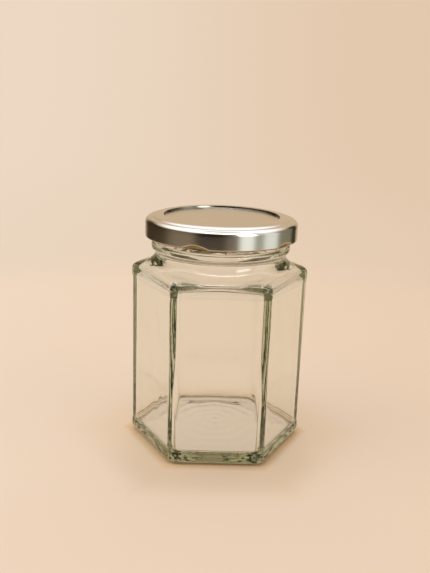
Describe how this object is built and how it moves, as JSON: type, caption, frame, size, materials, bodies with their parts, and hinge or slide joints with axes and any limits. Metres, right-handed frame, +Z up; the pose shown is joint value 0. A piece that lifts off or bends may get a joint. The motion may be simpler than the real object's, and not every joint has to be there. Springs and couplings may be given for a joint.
{
  "type": "hexagonal glass jar with lid",
  "caption": "Empty six-sided clear glass food jar with a round neck, closed by a satin metal twist-off lid.",
  "frame": {"origin": "centre of the flat bearing face that the jar stands on", "axes": "+Z up along the jar's axis to the lid; two label panels face +Y and -Y, two corners point along +X and -X"},
  "size_m": [0.0774, 0.0682, 0.1021],
  "materials": {
    "clear_glass": "clear soda-lime glass with a faint green tint in its thick edges",
    "satin_metal": "satin tinplate, bright on its rolled edges"
  },
  "bodies": {
    "root": {"jar_glass": "clear_glass", "lid": "satin_metal"}
  },
  "joints": []
}
